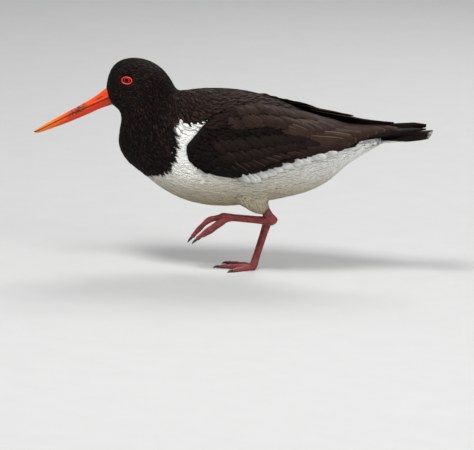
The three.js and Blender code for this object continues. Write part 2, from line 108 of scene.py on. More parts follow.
# Rows of feathers on a wing: how many, then x and degrees of the first and last root and of the
# first and last tip, first and last width, lift of root and tip off the wing's skin, and how black,
# how white and how pale-edged the row is.
WING_ROWS = [
    ("primaries", 8, (60, 78, 66, 44), (118, 86, 167, 54), (9.5, 8.5), (-3.0, -1.0), (0.9, 0, 0.25)),
    ("white_bar", 17, (-30, 105, 52, 86), (-6, 121, 80, 101), (9.5, 8.5), (-2.4, -0.4), (0, 1, 0)),
    ("greater_coverts", 17, (-42, 97, 48, 78), (-14, 113.5, 86, 88), (10, 10), (-1.9, 0.2), (0.85, 0, 0.5)),
    ("median_coverts", 15, (-46, 88, 34, 71), (-26, 100, 64, 80), (9, 10), (-1.6, 0.4), (0.8, 0, 0.4)),
    ("upper_coverts", 14, (-50, 78, 28, 64), (-32, 89, 54, 73), (8.5, 9.5), (-1.4, 0.8), (0.85, 0, 0.2)),
    ("tertials", 6, (32, 72, 50, 15), (88, 83, 137, 36), (17, 14), (-1.8, 0.6), (0.1, 0, 1)),
    ("rear_scapulars", 9, (4, 55, 38, 20), (48, 68, 94, 30), (12.5, 12), (-1.4, 0.9), (0.15, 0, 1)),
    ("low_scapulars", 13, (-46, 52, 16, 38), (-20, 62, 54, 52), (11, 11.5), (-3.4, 1.0), (0.35, 0, 0.6)),
    ("high_scapulars", 12, (-36, 40, 22, 24), (-12, 47, 58, 32), (10.5, 11), (-4.0, 1.0), (0.3, 0, 0.5)),
]

# A large feather tilts over the one below it, is this thick, and curls down at its edges.
SHINGLE, VANE_DEPTH, EDGE_CURL = 0.12, 0.16, 0.35

# Rows that have more feathers on the far wing, where they lap over the ridge of the back.
OVER_RIDGE = ("tertials", "rear_scapulars", "high_scapulars")

# Tail: pairs of feathers, x and z of root and tip, half the spread, each one's width, how far a pair
# lies under the one inside it, and the room that the wings leave over it.
TAIL = {
    "pairs": 6, "root": (104, 136.5), "tip": (172.5, 149.0),
    "spread": 17, "width": 11.5, "layer": 0.8, "clearance": 1.4,
}

# Small feathers by kind: length, width, lift of the tip, spacing and bluntness of the tip, then two
# places in x with the change of size between them.
SMALL = {
    "head": (5.8, 1.9, 0.55, 1.1, 1.5, (-150, -128), (0.5, 1)),
    "neck": (7.5, 2.3, 0.6, 1.4, 1.5, (0, 1), (1, 1)),
    "body": (13.0, 2.9, 0.36, 1.7, 2.2, (60, 120), (1, 1.4)),
    "mantle": (12.5, 3.9, 0.6, 2.0, 2.2, (-40, 20), (1, 1.35)),
    "leg": (10.0, 2.2, 1.1, 1.3, 1.5, (0, 1), (1, 1)),
    "small_coverts": (8.0, 4.8, 0.8, 2.5, 2.2, (-60, 10), (1, 1.5)),
    "shoulder": (12.0, 4.0, 0.7, 1.9, 2.2, (0, 1), (1, 1)),
}
COAT_KINDS = list(SMALL)[:5]
# Places tried a square millimetre, most feathers in a piece, and the bare room round each eye.
COAT_DENSITY, PIECE_SPOTS, EYE_ROOM = 2.6, 7000, 6

# The lie of the coat follows this line, from the base of the bill to the tail, read in so many steps
# and blended over so many square millimetres. Two kinds have a lie of their own.
LIE = np.array([
    (-152, 0, 168), (-140, 0, 182), (-122, 0, 188), (-108, 0, 176), (-106, 0, 155), (-100, 0, 132),
    (-80, 0, 116), (-50, 0, 114), (-10, 0, 118), (30, 0, 124), (70, 0, 132), (110, 0, 139), (160, 0, 147),
], float)
LIE_STEPS, LIE_BLEND = 60, 500
OWN_LIE = {"leg": (0.5, 0, -1.0), "small_coverts": (1.0, 0, -0.35)}

# Edge between black and white on the body: x of the front edge for each z, and its top for each x.
FRONT_EDGE = [
    (60, -150), (88, -145), (94, -118), (103, -93), (116, -87),
    (127, -84), (137, -84), (148, -86), (158, -82), (160, 190),
]
TOP_EDGE = [
    (-150, 159), (-90, 160), (-69, 162), (-58, 158), (-46, 145),
    (0, 138), (58, 138), (92, 146), (104, 195), (190, 195),
]

# Legs: joints of the shank and tarsus, how deep and how wide each is along its length, and the toes.
HOCK = {"left": (17.5, -17, 53.2), "right": (13.4, 12, 51)}
KNUCKLE = {"left": (-33, -15.5, 55.2), "right": (0, 0, 3)}
SHANK_TOP = {
    "left": ((5, -20, 68.5), (10.5, -19, 63.6)),
    "right": ((5, 17.5, 68), (8.6, 15.6, 62.6)),
}
GIRTHS = {
    "shank": (
        [(0, 8.2), (0.4, 8.4), (0.65, 10.2), (0.84, 11.2), (0.95, 9.0), (1, 4.5)],
        [(0, 7), (0.4, 7.0), (0.65, 8.2), (0.84, 8.8), (0.95, 7.2), (1, 3.6)],
    ),
    "tarsus": (
        [(0, 9.0), (0.13, 8.6), (0.3, 7.6), (0.7, 7.2), (0.88, 8.0), (0.95, 7.6), (1, 5.0)],
        [(0, 7.2), (0.13, 6.6), (0.3, 5.6), (0.7, 5.6), (0.88, 7.4), (0.95, 8.4), (1, 5.6)],
    ),
}
TOES = {
    "left": {
        "middle": [(-34, -15.5, 54.4), (-46, -15, 51), (-56, -14.5, 40.8), (-62.6, -14, 32.4)],
        "outer": [(-31.5, -19, 52), (-41.5, -21, 46), (-51, -21, 38), (-57.6, -20.5, 31.8)],
        "inner": [(-31, -12, 50.4), (-38.5, -9.6, 43.4), (-46.5, -8.6, 37), (-52.8, -8.2, 33)],
    },
    "right": {
        "middle": [(-1, 0, 2.6), (-12, -0.4, 2.2), (-23, -0.7, 1.8), (-33.5, -1, 1.5)],
        "outer": [(0, 2.6, 2.6), (-8.6, 9.6, 2.2), (-17.5, 15.4, 1.8), (-25.6, 20, 1.5)],
        "inner": [(0, -2.6, 2.6), (-8, -8.6, 2.2), (-15, -14.4, 1.8), (-20.8, -19.4, 1.5)],
    },
}


# Meshes

def new_object(name, mesh, material, replaced=()):
    """An object of the bird: it rides on the one body and stands for the solids it replaces."""
    obj = bpy.data.objects.new(name, mesh)
    bpy.context.scene.collection.objects.link(obj)
    mesh.materials.append(material)
    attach(obj, "root")
    if replaced:
        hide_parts(*replaced)
    return obj


def smooth_faces(mesh):
    mesh.polygons.foreach_set("use_smooth", [True] * len(mesh.polygons))


def finish_mesh(bm, name):
    """Writes a bmesh drawn in millimetres as a mesh in metres, with its faces turned out."""
    bmesh.ops.scale(bm, vec=(MM, MM, MM), verts=bm.verts)
    bmesh.ops.recalc_face_normals(bm, faces=bm.faces)
    mesh = bpy.data.meshes.new(name)
    bm.to_mesh(mesh)
    bm.free()
    smooth_faces(mesh)
    return mesh


def finish_object(name, bm, material, replaced=()):
    return new_object(name, finish_mesh(bm, name), material, replaced)


def apply_modifiers(obj):
    graph = bpy.context.evaluated_depsgraph_get()
    mesh = bpy.data.meshes.new_from_object(obj.evaluated_get(graph))
    obj.modifiers.clear()
    obj.data = mesh


def rows_of(data, key, kind=float):
    """Three numbers for each item of a mesh's data."""
    values = np.empty(len(data) * 3, kind)
    data.foreach_get(key, values)
    return values.reshape(-1, 3)


def placed(x_axis, y_axis, z_axis, origin):
    place = Matrix((x_axis, y_axis, z_axis)).transposed().to_4x4()
    place.translation = origin
    return place


def oval(bm, centre, side, front, wide, deep, segments):
    """Vertices of a ring, wide along its side axis and deep along its front axis."""
    place = placed(side * wide, front * deep, side.cross(front), centre)
    made = bmesh.ops.create_circle(bm, cap_ends=False, segments=segments, radius=1, matrix=place)
    return made["verts"]


def join_rings(bm, rings, closed=False):
    """Bridges rings of vertices into a tube, which is capped unless it closes on itself."""
    rings = [list(dict.fromkeys(edge for vert in ring for edge in vert.link_edges)) for ring in rings]
    after = rings[1:] + (rings[:1] if closed else [])
    for low, high in zip(rings, after):
        bmesh.ops.bridge_loops(bm, edges=low + high)
    if not closed:
        for ring in (rings[0], rings[-1]):
            bmesh.ops.holes_fill(bm, edges=ring, sides=0)


def sweep(bm, stations, segments, swell=None):
    """A capped tube through ovals, each given as its centre, side axis, front axis and half widths.
    swell(share, angle) may move each point away from the middle."""
    rings = []
    for k, (centre, side, front, wide, deep) in enumerate(stations):
        ring = oval(bm, centre, side, front, wide, deep, segments)
        rings.append(ring)
        if swell:
            for vert in ring:
                local = vert.co - centre
                angle = math.atan2(local.dot(front) / deep, local.dot(side) / wide)
                vert.co = centre + local * swell(k / (len(stations) - 1), angle)
    join_rings(bm, rings)


def smooth_path(points, steps):
    """Points evenly spread by share along a curve through the given ones."""
    points = [Vector(p) for p in points]
    ends = [2 * points[0] - points[1]] + points + [2 * points[-1] - points[-2]]
    out = []
    for i in range(steps + 1):
        t = i / steps * (len(points) - 1)
        k = min(int(t), len(points) - 2)
        t -= k
        a, b, c, d = ends[k:k + 4]
        slope = 2 * b + (c - a) * t
        bend = (2 * a - 5 * b + 4 * c - d) * t * t
        out.append(0.5 * (slope + bend + (3 * b - a - 3 * c + d) * t ** 3))
    return out


def oval_stations(path, deep, wide):
    """Stations for a limb: rings square to the path, wide across the bird and deep along it."""
    stations = []
    for i, point in enumerate(path):
        along = (path[min(i + 1, len(path) - 1)] - path[max(i - 1, 0)]).normalized()
        side = (Vector((0, 1, 0)) - along * along.y).normalized()
        share = i / (len(path) - 1)
        stations.append((point, side, along.cross(side), wide(share) / 2, deep(share) / 2))
    return stations


def table(pairs):
    """A reading of a share from 0 to 1 through (share, value) pairs."""
    xs, ys = zip(*pairs)
    return lambda share: float(np.interp(share, xs, ys))


def between(value, low, high):
    """How far a value has come from low to high, kept within 0 and 1."""
    return np.clip((value - low) / (high - low), 0, 1)


# Feathers: many closed vanes joined in one mesh

# Sections of a vane: share of the half width across, and share of the thickness.
SMALL_VANE = np.array([(-1, 0), (0, 1), (1, 0)], float)
LARGE_VANE = np.array([
    (-1, 0), (-0.5, 0.85), (-0.06, 1.0), (0.06, 1.0), (0.5, 0.85), (1, 0), (0, -0.5),
], float)
# Size of each small vane's patch, and the length in millimetres that the unwrap takes in.
BAKE_PATCH, UNWRAP_LENGTH = 0.003, 500
# How deep the root of a small feather is sunk, how much its size varies and how far it sways.
ROOT_DEPTH, SIZES, SWAY = 0.45, (0.82, 1.18), 0.13
AROUND = list(itertools.product((-1, 0, 1), repeat=3))


def feather_outline(s, bluntness):
    """Half width of a feather at a share of its length, as a share of the widest."""
    body = 0.5 + 0.5 * np.minimum(1, s * 3)
    return body * np.sqrt(np.maximum(0.03, 1 - np.maximum(0, (s - 0.5) / 0.51) ** bluntness))


def joined_vanes(name, points, profile, root, unwrap, values):
    """One mesh from vane points of shape (vanes, rows, ring, 3) in millimetres. Each vane keeps its
    root's place, its own coordinates in the map named Vane and a small patch in the map OFBake."""
    count, rows, ring, _ = points.shape
    grid = np.arange(count * rows * ring).reshape(count, rows, ring)
    after = np.roll(grid, -1, axis=2)
    quads = np.stack([grid[:, :-1], after[:, :-1], after[:, 1:], grid[:, 1:]], -1).reshape(-1, 4)
    a, b, c = (points.reshape(-1, 3)[quads[:, i]] for i in (0, 1, 2))
    volume = np.einsum("ij,ij->", a, np.cross(b, c))
    caps = np.concatenate([grid[:, 0, ::-1], grid[:, -1]])
    if volume < 0:
        quads = quads[:, ::-1]
        caps = caps[:, ::-1]
    loops = np.concatenate([quads.ravel(), caps.ravel()])
    sizes = np.concatenate([np.full(len(quads), 4), np.full(len(caps), ring)])
    mesh = bpy.data.meshes.new(name)
    mesh.vertices.add(count * rows * ring)
    mesh.vertices.foreach_set("co", (points * MM).ravel())
    mesh.loops.add(len(loops))
    mesh.loops.foreach_set("vertex_index", loops)
    mesh.polygons.add(len(sizes))
    mesh.polygons.foreach_set("loop_start", np.concatenate([[0], np.cumsum(sizes)[:-1]]))
    mesh.polygons.foreach_set("loop_total", sizes)
    smooth_faces(mesh)
    across = np.broadcast_to((profile[:, 0] + 1) / 2, (count, rows, ring))
    along = np.broadcast_to(np.linspace(0, 1, rows)[None, :, None], (count, rows, ring))
    vane = np.stack([across, along], -1)
    patch = unwrap[:, None, None, :] + BAKE_PATCH * (vane - 0.5)
    for layer, data in (("Vane", vane), ("OFBake", patch)):
        mesh.uv_layers.new(name=layer).data.foreach_set("uv", data.reshape(-1, 2)[loops].ravel())
    spread = np.repeat(root, rows * ring, axis=0)
    mesh.attributes.new("root", "FLOAT_VECTOR", "POINT").data.foreach_set("vector", (spread * MM).ravel())
    for key, value in values.items():
        data = np.repeat(value, rows * ring)
        mesh.attributes.new(key, "FLOAT", "POINT").data.foreach_set("value", data)
    mesh.update(calc_edges=True)
    mesh.validate()
    return mesh


def lie_line():
    """Points along the lie of the coat, and its direction at each."""
    line = np.array([p[:] for p in smooth_path(LIE, LIE_STEPS)])
    return line, np.gradient(line, axis=0)


def unwrap_of(places):
    """Where places on the bird fall on an unwrap of its skin: along its length, and round it."""
    line, tangents = lie_line()
    near = np.argmin(((places[:, None] - line[None]) ** 2).sum(-1), axis=1)
    offset = places - line[near]
    tangent = tangents[near]
    tangent /= np.linalg.norm(tangent, axis=1, keepdims=True)
    up = np.cross(tangent, [0, 1, 0])
    turn = np.arctan2(offset[:, 1], (offset * up).sum(1)) / (2 * math.pi)
    along = near / LIE_STEPS + (offset * tangent).sum(1) / UNWRAP_LENGTH
    return np.clip(np.stack([along * 0.9 + 0.05, turn * 0.9 + 0.5], -1), 0.01, 0.99)


def lie_at(places):
    """Direction of the coat at each place, blended from the points of the lie near it."""
    line, tangents = lie_line()
    gap = ((places[:, None] - line[None]) ** 2).sum(-1)
    weight = np.exp(-(gap - gap.min(1, keepdims=True)) / LIE_BLEND)
    return (weight[:, :, None] * tangents[None]).sum(1)


def scatter(mesh, rng, density):
    """Random places on a mesh, in millimetres, at so many a square millimetre, and its search tree."""
    mesh.calc_loop_triangles()
    place = rows_of(mesh.vertices, "co") * 1000
    corners = rows_of(mesh.loop_triangles, "vertices", int)
    a, b, c = (place[corners[:, i]] for i in range(3))
    area = np.linalg.norm(np.cross(b - a, c - a), axis=1) / 2
    tries = int(area.sum() * density)
    pick = rng.choice(len(area), tries, p=area / area.sum())
    r = np.sqrt(rng.random(tries))[:, None]
    s = rng.random(tries)[:, None]
    spots = a[pick] * (1 - r) + b[pick] * r * (1 - s) + c[pick] * r * s
    return spots, BVHTree.FromPolygons(place.tolist(), corners.tolist())


def spaced(spots, gap):
    """Those of the places that keep about a gap between each other."""
    cells = {}
    kept = []
    limit = gap * gap * 0.8
    for x, y, z in spots.tolist():
        i, j, k = int(x // gap), int(y // gap), int(z // gap)
        near = (cells.get((i + a, j + b, k + c)) for a, b, c in AROUND)
        if not any(o and (x - o[0]) ** 2 + (y - o[1]) ** 2 + (z - o[2]) ** 2 < limit for o in near):
            cells[i, j, k] = (x, y, z)
            kept.append((x, y, z))
    return np.array(kept)


def marks(count, tone, black, white, edged):
    """What the paint of large feathers reads: one number of each kind for every feather."""
    even = np.zeros(count)
    return {"tone": tone, "black": even + black, "white": even + white, "edged": even + edged}


def small_vanes(name, kind, spots, tree, rng, above=0.0, black=None):
    """A mesh of small feathers that follow the surface from their roots, at a height above it."""
    length, width, lift, _, bluntness, places, sizes = SMALL[kind]
    count, rows = len(spots), 5
    size = rng.uniform(*SIZES, count) * np.interp(spots[:, 0], places, sizes)
    if kind == "body":
        shoulder = between(spots[:, 2], 96, 118) * between(spots[:, 0], -38, -53)
        size *= 1 - 0.5 * shoulder
    sway = rng.normal(0, SWAY, count)
    centre, normal, ahead = (np.empty((count, rows, 3)) for _ in range(3))
    here = spots
    for row in range(rows):
        hits = [tree.find_nearest(Vector(p)) for p in here]
        here = np.array([hit[0] for hit in hits])
        n = np.array([hit[1] for hit in hits])
        lie = np.array(OWN_LIE[kind]) if kind in OWN_LIE else lie_at(here)
        lie = lie - n * (lie * n).sum(1, keepdims=True)
        lie /= np.maximum(1e-6, np.linalg.norm(lie, axis=1, keepdims=True))
        lie = lie + np.cross(n, lie) * sway[:, None]
        lie /= np.linalg.norm(lie, axis=1, keepdims=True)
        centre[:, row], normal[:, row], ahead[:, row] = here, n, lie
        here = here + lie * (length * size / (rows - 1))[:, None]
    share = np.linspace(0, 1, rows)
    lifts = lift * size * rng.uniform(0.6, 1.1, count)
    rise = above - ROOT_DEPTH + share[None] * (ROOT_DEPTH + lifts[:, None])
    centre = centre + normal * rise[:, :, None]
    half = (feather_outline(share, bluntness)[None] * (width * size / 2)[:, None])[:, :, None, None]
    points = (
        centre[:, :, None]
        + np.cross(ahead, normal)[:, :, None] * half * SMALL_VANE[:, :1]
        + normal[:, :, None] * (0.1 * half) * SMALL_VANE[:, 1:]
    )
    values = {"tone": rng.random(count) ** 1.6}
    if black:
        values = marks(count, values["tone"], black, 0, 0.1)
    return joined_vanes(name, points, SMALL_VANE, spots, unwrap_of(spots), values)


def large_feathers(name, points, side, values, paint, replaced):
    """An object of large feathers, with patches in a grid that is higher up for the right wing."""
    wide = 16
    index = np.arange(len(points))
    u = (index % wide + 0.5) / wide
    v = (index // wide + 0.5) / wide * 0.5 + (0.5 if side > 0 else 0)
    unwrap = np.stack([u, v], -1)
    mesh = joined_vanes(name, points, LARGE_VANE, points[:, 0].mean(1), unwrap, values)
    new_object(name, mesh, paint, replaced)


def eye_place(side):
    return np.array([EYE["x"], side * EYE["y"], EYE["z"]])


def wing_edges(x):
    """Upper and lower edge of the wing's coverts at x, in degrees from the ridge of the back."""
    return [np.interp(x, WING_MASS[:, 0], WING_MASS[:, k]) for k in (1, 2)]


def from_ridge(y, z, rise=56):
    """Rough angle in degrees of places on the body's side from the ridge of the back."""
    half_width, middle = 46, 125
    return np.degrees(np.arctan2(np.abs(y) / half_width, (z - middle) / rise))


def wing_read(x):
    """Middle, rise and half width of the wing's ellipse at each x, eased between the stations."""
    k = np.clip(np.searchsorted(WING_SKIN[:, 0], x, side="right") - 1, 0, len(WING_SKIN) - 2)
    low, high = WING_SKIN[k], WING_SKIN[k + 1]
    share = between(x, low[..., 0], high[..., 0])
    share = (share * share * (3 - 2 * share) * 0.3 + share * 0.7)[..., None]
    return np.moveaxis(low[..., 1:] + (high[..., 1:] - low[..., 1:]) * share, -1, 0)


def wing_degree(x, degrees):
    """Length of one degree round the wing's ellipse."""
    _, rise, half = wing_read(x)
    angle = np.radians(degrees)
    return np.radians(1) * np.hypot(half * np.cos(angle), rise * np.sin(angle))


def wing_skin(side, x, degrees, out):
    """A point on a folded wing's skin, by x and by angle from the ridge of the back."""
    middle, rise, half = wing_read(x)
    angle = np.radians(degrees)
    if side > 0:
        rise = rise + np.interp(x, *FAR_WING_LIFT.T) * np.maximum(0, np.cos(angle))
    y = side * (half + out) * np.sin(angle)
    return np.stack([x, y, middle + (rise + out) * np.cos(angle)], -1)


def over_tail(x, y):
    """The level that keeps a wing feather clear of the tail."""
    (root_x, root_z), (tip_x, tip_z) = TAIL["root"], TAIL["tip"]
    share = (x - root_x) / (tip_x - root_x)
    return root_z + share * (tip_z - root_z) - 0.002 * y * y + TAIL["clearance"]


# Paints: materials, with their shader maths

class Value:
    """A socket of a node tree, with sums written as Python expressions."""

    def __init__(self, paint, socket):
        self.paint = paint
        self.socket = socket

    def math(self, operation, *others):
        return self.paint.node("ShaderNodeMath", {"operation": operation}, [self, *others])

    def __rsub__(self, other):
        return self.paint.node("ShaderNodeMath", {"operation": "SUBTRACT"}, [other, self])

    __add__ = __radd__ = partialmethod(math, "ADD")
    __sub__ = partialmethod(math, "SUBTRACT")
    __mul__ = __rmul__ = partialmethod(math, "MULTIPLY")
    __pow__ = partialmethod(math, "POWER")


class Paint:
    """A material with a Principled shader, and short calls for the nodes that feed it."""

    def __init__(self, name, **constants):
        self.material = bpy.data.materials.new(name)
        self.material.use_nodes = True
        self.tree = self.material.node_tree
        self.shader = self.tree.nodes["Principled BSDF"]
        for key, value in constants.items():
            self.socket_of(key).default_value = value

    def socket_of(self, key):
        names = {"specular_level": "Specular IOR Level"}
        return self.shader.inputs[names.get(key, key.replace("_", " ").title())]

    def node(self, kind, settings=None, values=(), output=0):
        made = self.tree.nodes.new(kind)
        for key, value in (settings or {}).items():
            if key == "stops":
                self.set_stops(made.color_ramp, value)
            else:
                setattr(made, key, value)
        pairs = values.items() if isinstance(values, dict) else enumerate(values)
        for key, value in pairs:
            if isinstance(value, Value):
                self.tree.links.new(value.socket, made.inputs[key])
            elif value is not None:
                made.inputs[key].default_value = value
        return Value(self, made.outputs[output])

    @staticmethod
    def set_stops(ramp, stops):
        while len(ramp.elements) < len(stops):
            ramp.elements.new(0.5)
        for element, (place, level) in zip(ramp.elements, stops):
            element.position = place
            element.color = (level, level, level, 1)

    def object_place(self):
        return self.node("ShaderNodeTexCoord", output="Object")

    def attribute(self, name, output="Fac"):
        return self.node("ShaderNodeAttribute", {"attribute_name": name}, output=output)

    def split(self, vector):
        made = self.node("ShaderNodeSeparateXYZ", values=[vector]).socket.node
        return [Value(self, made.outputs[i]) for i in range(3)]

    def uv(self, name):
        return self.split(self.node("ShaderNodeUVMap", {"uv_map": name}))[:2]

    def noise(self, place, scale, detail=3.0, rough=0.55):
        values = {"Vector": place, "Scale": scale, "Detail": detail, "Roughness": rough}
        return self.node("ShaderNodeTexNoise", {}, values)

    def ramp(self, value, stops):
        return self.node("ShaderNodeValToRGB", {"stops": stops}, [value])

    def step(self, value, low, high):
        values = {"Value": value, "From Min": low, "From Max": high}
        return self.node("ShaderNodeMapRange", {"interpolation_type": "SMOOTHSTEP"}, values)

    def mix(self, share, first, second):
        colour = [c if isinstance(c, Value) else (*c, 1) for c in (first, second)]
        values = {0: share, 6: colour[0], 7: colour[1]}
        return self.node("ShaderNodeMix", {"data_type": "RGBA"}, values, output=2)

    def layers(self, shade, *coats):
        """Colours laid over a first one in turn, each by its share."""
        for share, colour in coats:
            shade = self.mix(share, shade, colour)
        return shade

    def bump(self, height, strength, distance):
        values = {"Height": height, "Strength": strength, "Distance": distance * MM}
        return self.node("ShaderNodeBump", {}, values)

    def feed(self, **values):
        for key, value in values.items():
            self.tree.links.new(value.socket, self.socket_of(key))
        return self.material


def edge_line(paint, value, line):
    """Reads a line of (place, level) pairs as a ramp, in millimetres."""
    low, high = line[0][0], line[-1][0]
    stops = [((place - low) / (high - low), (level + 200) / 400) for place, level in line]
    return paint.ramp((value - low) * (1 / (high - low)), stops) * 400 - 200


def bird_colour(paint, place, tone, props):
    """The bird's markings at a place in metres: white below, black before, browner on the back, with painted
    sheen highlights on the dark parts and painted shade on the lower belly.
    """
    scaled = paint.node("ShaderNodeVectorMath", {"operation": "SCALE"}, {0: place, "Scale": 1000.0})
    x, _, z = paint.split(scaled)
    drift = (paint.noise(scaled, 0.22) - 0.5) * 5
    x = x + drift
    front = edge_line(paint, z + drift, FRONT_EDGE)
    top = edge_line(paint, x, TOP_EDGE)
    white = paint.step(x - front, -1.0, 1.0) * paint.step(top - z, -1.0, 1.0)
    brown = paint.step(x, -105, -50) * paint.step(z, 120, 160)
    # Painted sheen highlights: feathers of higher tone are drawn towards the sheen colour on the black and
    # brown.
    sheen_share = tone.math("MAXIMUM", 0.0) ** (2.2 - brown)
    dark = paint.layers(props.black, (brown, props.brown), (sheen_share * (0.45 + brown * 0.1), props.painted_sheen))
    shade = (tone * 0.2).math("MAXIMUM", 0.0)
    # The white darkens towards the bottom into a warm painted shade, warmed as painted light reflected from
    # below.
    pale = paint.layers(props.white, (paint.step(z, 116, 68) * 0.9, props.belly_shade), (shade, (0.62, 0.58, 0.50)))
    return paint.mix(white, dark, pale)


def skin_paint(props):
    paint = Paint("plumage_skin", roughness=0.7, specular_level=0.1)
    place = paint.object_place()
    shade = bird_colour(paint, place, paint.noise(place, 260, 4), props)
    return paint.feed(base_color=shade, normal=paint.bump(paint.noise(place, 900, 4), 0.5, 0.5))


def coat_paint(props):
    """Small feathers: each has the markings at its root and slanting barbs; on the dark parts the barbs
    carry painted highlights and the covered base a painted shade.
    """
    paint = Paint("plumage_coat", roughness=0.7, specular_level=0.1)
    u, v = paint.uv("Vane")
    tone = paint.attribute("tone")
    spread = (u - 0.5).math("ABSOLUTE")
    barbs = (v * 30 + spread * -16 + tone * 5).math("SINE")
    # Painted light: the barbs raise the tone as painted highlights, and the base, under the next feather,
    # lowers it as painted shade on the dark parts.
    light = tone + paint.step(barbs, 0.3, 1.0) * 0.45 - paint.step(v, 0.6, 0.1) * 0.3
    shade = bird_colour(paint, paint.attribute("root", "Vector"), light, props)
    return paint.feed(base_color=shade, normal=paint.bump(barbs, 0.2, 0.08))


def quill_paint(props):
    """Large feathers: barbs that slant from a fine shaft, a pale worn edge, white where marked."""
    paint = Paint("quill_feather", specular_level=0.07)
    u, v = paint.uv("Vane")
    tone, black, white, edged = (paint.attribute(key) for key in ("tone", "black", "white", "edged"))
    spread = (u - 0.5).math("ABSOLUTE")
    barbs = (v * 150 + spread * -95 + tone * 9).math("SINE")
    mottle = paint.noise(paint.object_place(), 160, 4)
    rim = paint.step(spread, 0.44, 0.49).math("MAXIMUM", paint.step(v, 0.95, 1.0) * 0.35)
    worn = rim * edged * paint.step(v, 0.15, 0.4) * (0.35 + tone * 0.5)
    shaft = paint.step(spread, 0.035, 0.012) * paint.step(v, 1.0, 0.86)
    dark = paint.layers(
        props.tertial,
        (black, props.covert),
        # Painted sheen highlights: dark feathers of higher tone are drawn towards the sheen colour.
        (tone * (1 - black) * 0.5, props.painted_sheen),
        (paint.step(mottle, 0.45, 0.75) * 0.4, (0.006, 0.0045, 0.004)),
        (worn, props.fringe),
        (shaft * 0.5, (0.006, 0.005, 0.005)),
    )
    # Painted shade: white feathers grey towards their roots, where the feather above covers them.
    tucked_shade = paint.step(v, 1.0, 0.5) * paint.step(white, 0.6, 1.0) * 0.75
    pale = paint.layers(props.white, (tone * 0.35, (0.55, 0.54, 0.50)), (tucked_shade, (0.24, 0.24, 0.22)))
    edge = white - v + (spread - 0.25) * 0.2
    is_white = paint.step(edge, -0.06, 0.06) * paint.step(white, 0.01, 0.05)
    gloss = paint.step(barbs, 0.2, 1.0) * 0.1
    shade = paint.layers(dark, (is_white, pale), (gloss, (0.08, 0.055, 0.045)))
    rough = 0.5 + mottle * 0.25
    return paint.feed(base_color=shade, roughness=rough, normal=paint.bump(barbs + shaft * 3, 0.5, 0.12))


def grain_paint(name, scale, colours, bump=None, **constants):
    """Two colours mixed by a fine grain, which may stand out a little."""
    paint = Paint(name, **constants)
    grain = paint.noise(paint.object_place(), scale, 4)
    feeds = {"normal": paint.bump(grain, *bump)} if bump else {}
    return paint.feed(base_color=paint.mix(grain, *colours), **feeds)


def bill_paint(props):
    """Horn with fine streaks along it, a redder lower half, a smear of mud, darker blotches at its base, and
    painted shade in the crease of the mouth and in the nostril slits.
    """
    paint = Paint("bill_horn", specular_level=0.3, subsurface_weight=0.04)
    paint.shader.inputs["Subsurface Radius"].default_value = (0.002, 0.0006, 0.0003)
    place = paint.object_place()
    x, _, z = paint.split(place)
    along_bill = {"Vector": place, "Rotation": (0, -0.52, 0), "Scale": (120, 900, 900)}
    grain = paint.noise(paint.node("ShaderNodeMapping", {}, along_bill), 1.0, 4)
    worn = paint.noise(place, 420, 5, 0.65)
    upper = paint.step(z + x * -0.6, 0.2575, 0.2605)
    mud = paint.step(worn, 0.42, 0.52) * paint.step((x + 0.182).math("ABSOLUTE"), 0.011, 0.005)
    # Darker blotches where the bill meets the feathers.
    base = paint.step(x, -0.156, -0.150) * paint.step(worn, 0.4, 0.6)
    shade = paint.layers(
        props.bill,
        (paint.step(x, -0.185, -0.218), props.bill_tip),
        (paint.step(grain, 0.5, 0.75) * 0.35, (0.52, 0.09, 0.02)),
        ((1 - upper) * 0.75, (0.66, 0.022, 0.003)),
        (mud * upper * 0.85, (0.05, 0.035, 0.025)),
        (base * 0.6, (0.12, 0.03, 0.015)),
        (paint.step(x, -0.2215, -0.2245) * 0.6, (0.10, 0.05, 0.02)),
        # Painted shade in the crease of the mouth.
        (paint.attribute("lip") * 0.95, (0.03, 0.005, 0.003)),
        # Painted shade inside the nostril's slit.
        (paint.attribute("nostril") * 0.95, (0.02, 0.006, 0.004)),
    )
    rough = 0.26 + grain * 0.2 + paint.step(x, -0.150, -0.224) * 0.05
    return paint.feed(base_color=shade, roughness=rough, normal=paint.bump(grain + worn * 0.4, 0.35, 0.12))


def leg_paint(props):
    """Small scales with dark seams and blotches, and painted highlights on a fine grain."""
    paint = Paint("leg_skin", specular_level=0.45, subsurface_weight=0.04)
    paint.shader.inputs["Subsurface Radius"].default_value = (0.0015, 0.0005, 0.0004)
    place = paint.object_place()
    seams = {"feature": "DISTANCE_TO_EDGE"}
    cells = paint.node("ShaderNodeTexVoronoi", seams, {"Vector": place, "Scale": 430.0})
    scale = paint.step(cells, 0.02, 0.16)
    blotch = paint.noise(place, 190, 5, 0.6)
    fine = paint.noise(place, 900, 3)
    shade = paint.layers(
        props.leg,
        (paint.step(blotch, 0.35, 0.7), props.leg_dark),
        ((1 - scale) * 0.6, (0.07, 0.012, 0.012)),
        # Painted highlights: the raised spots of a fine grain are lightened to a pale pink.
        (paint.step(fine, 0.52, 0.75) * 0.55, (0.50, 0.12, 0.105)),
    )
    rough = 0.3 + blotch * 0.25
    return paint.feed(base_color=shade, roughness=rough, normal=paint.bump(scale + fine * 0.9, 0.9, 0.4))


def ring_paint(props):
    paint = Paint("eye_ring_skin", roughness=0.42)
    cells = paint.noise(paint.object_place(), 1300, 3)
    shade = paint.mix(paint.step(cells, 0.4, 0.7), props.ring, (0.55, 0.035, 0.01))
    return paint.feed(base_color=shade, normal=paint.bump(cells, 0.6, 0.15))


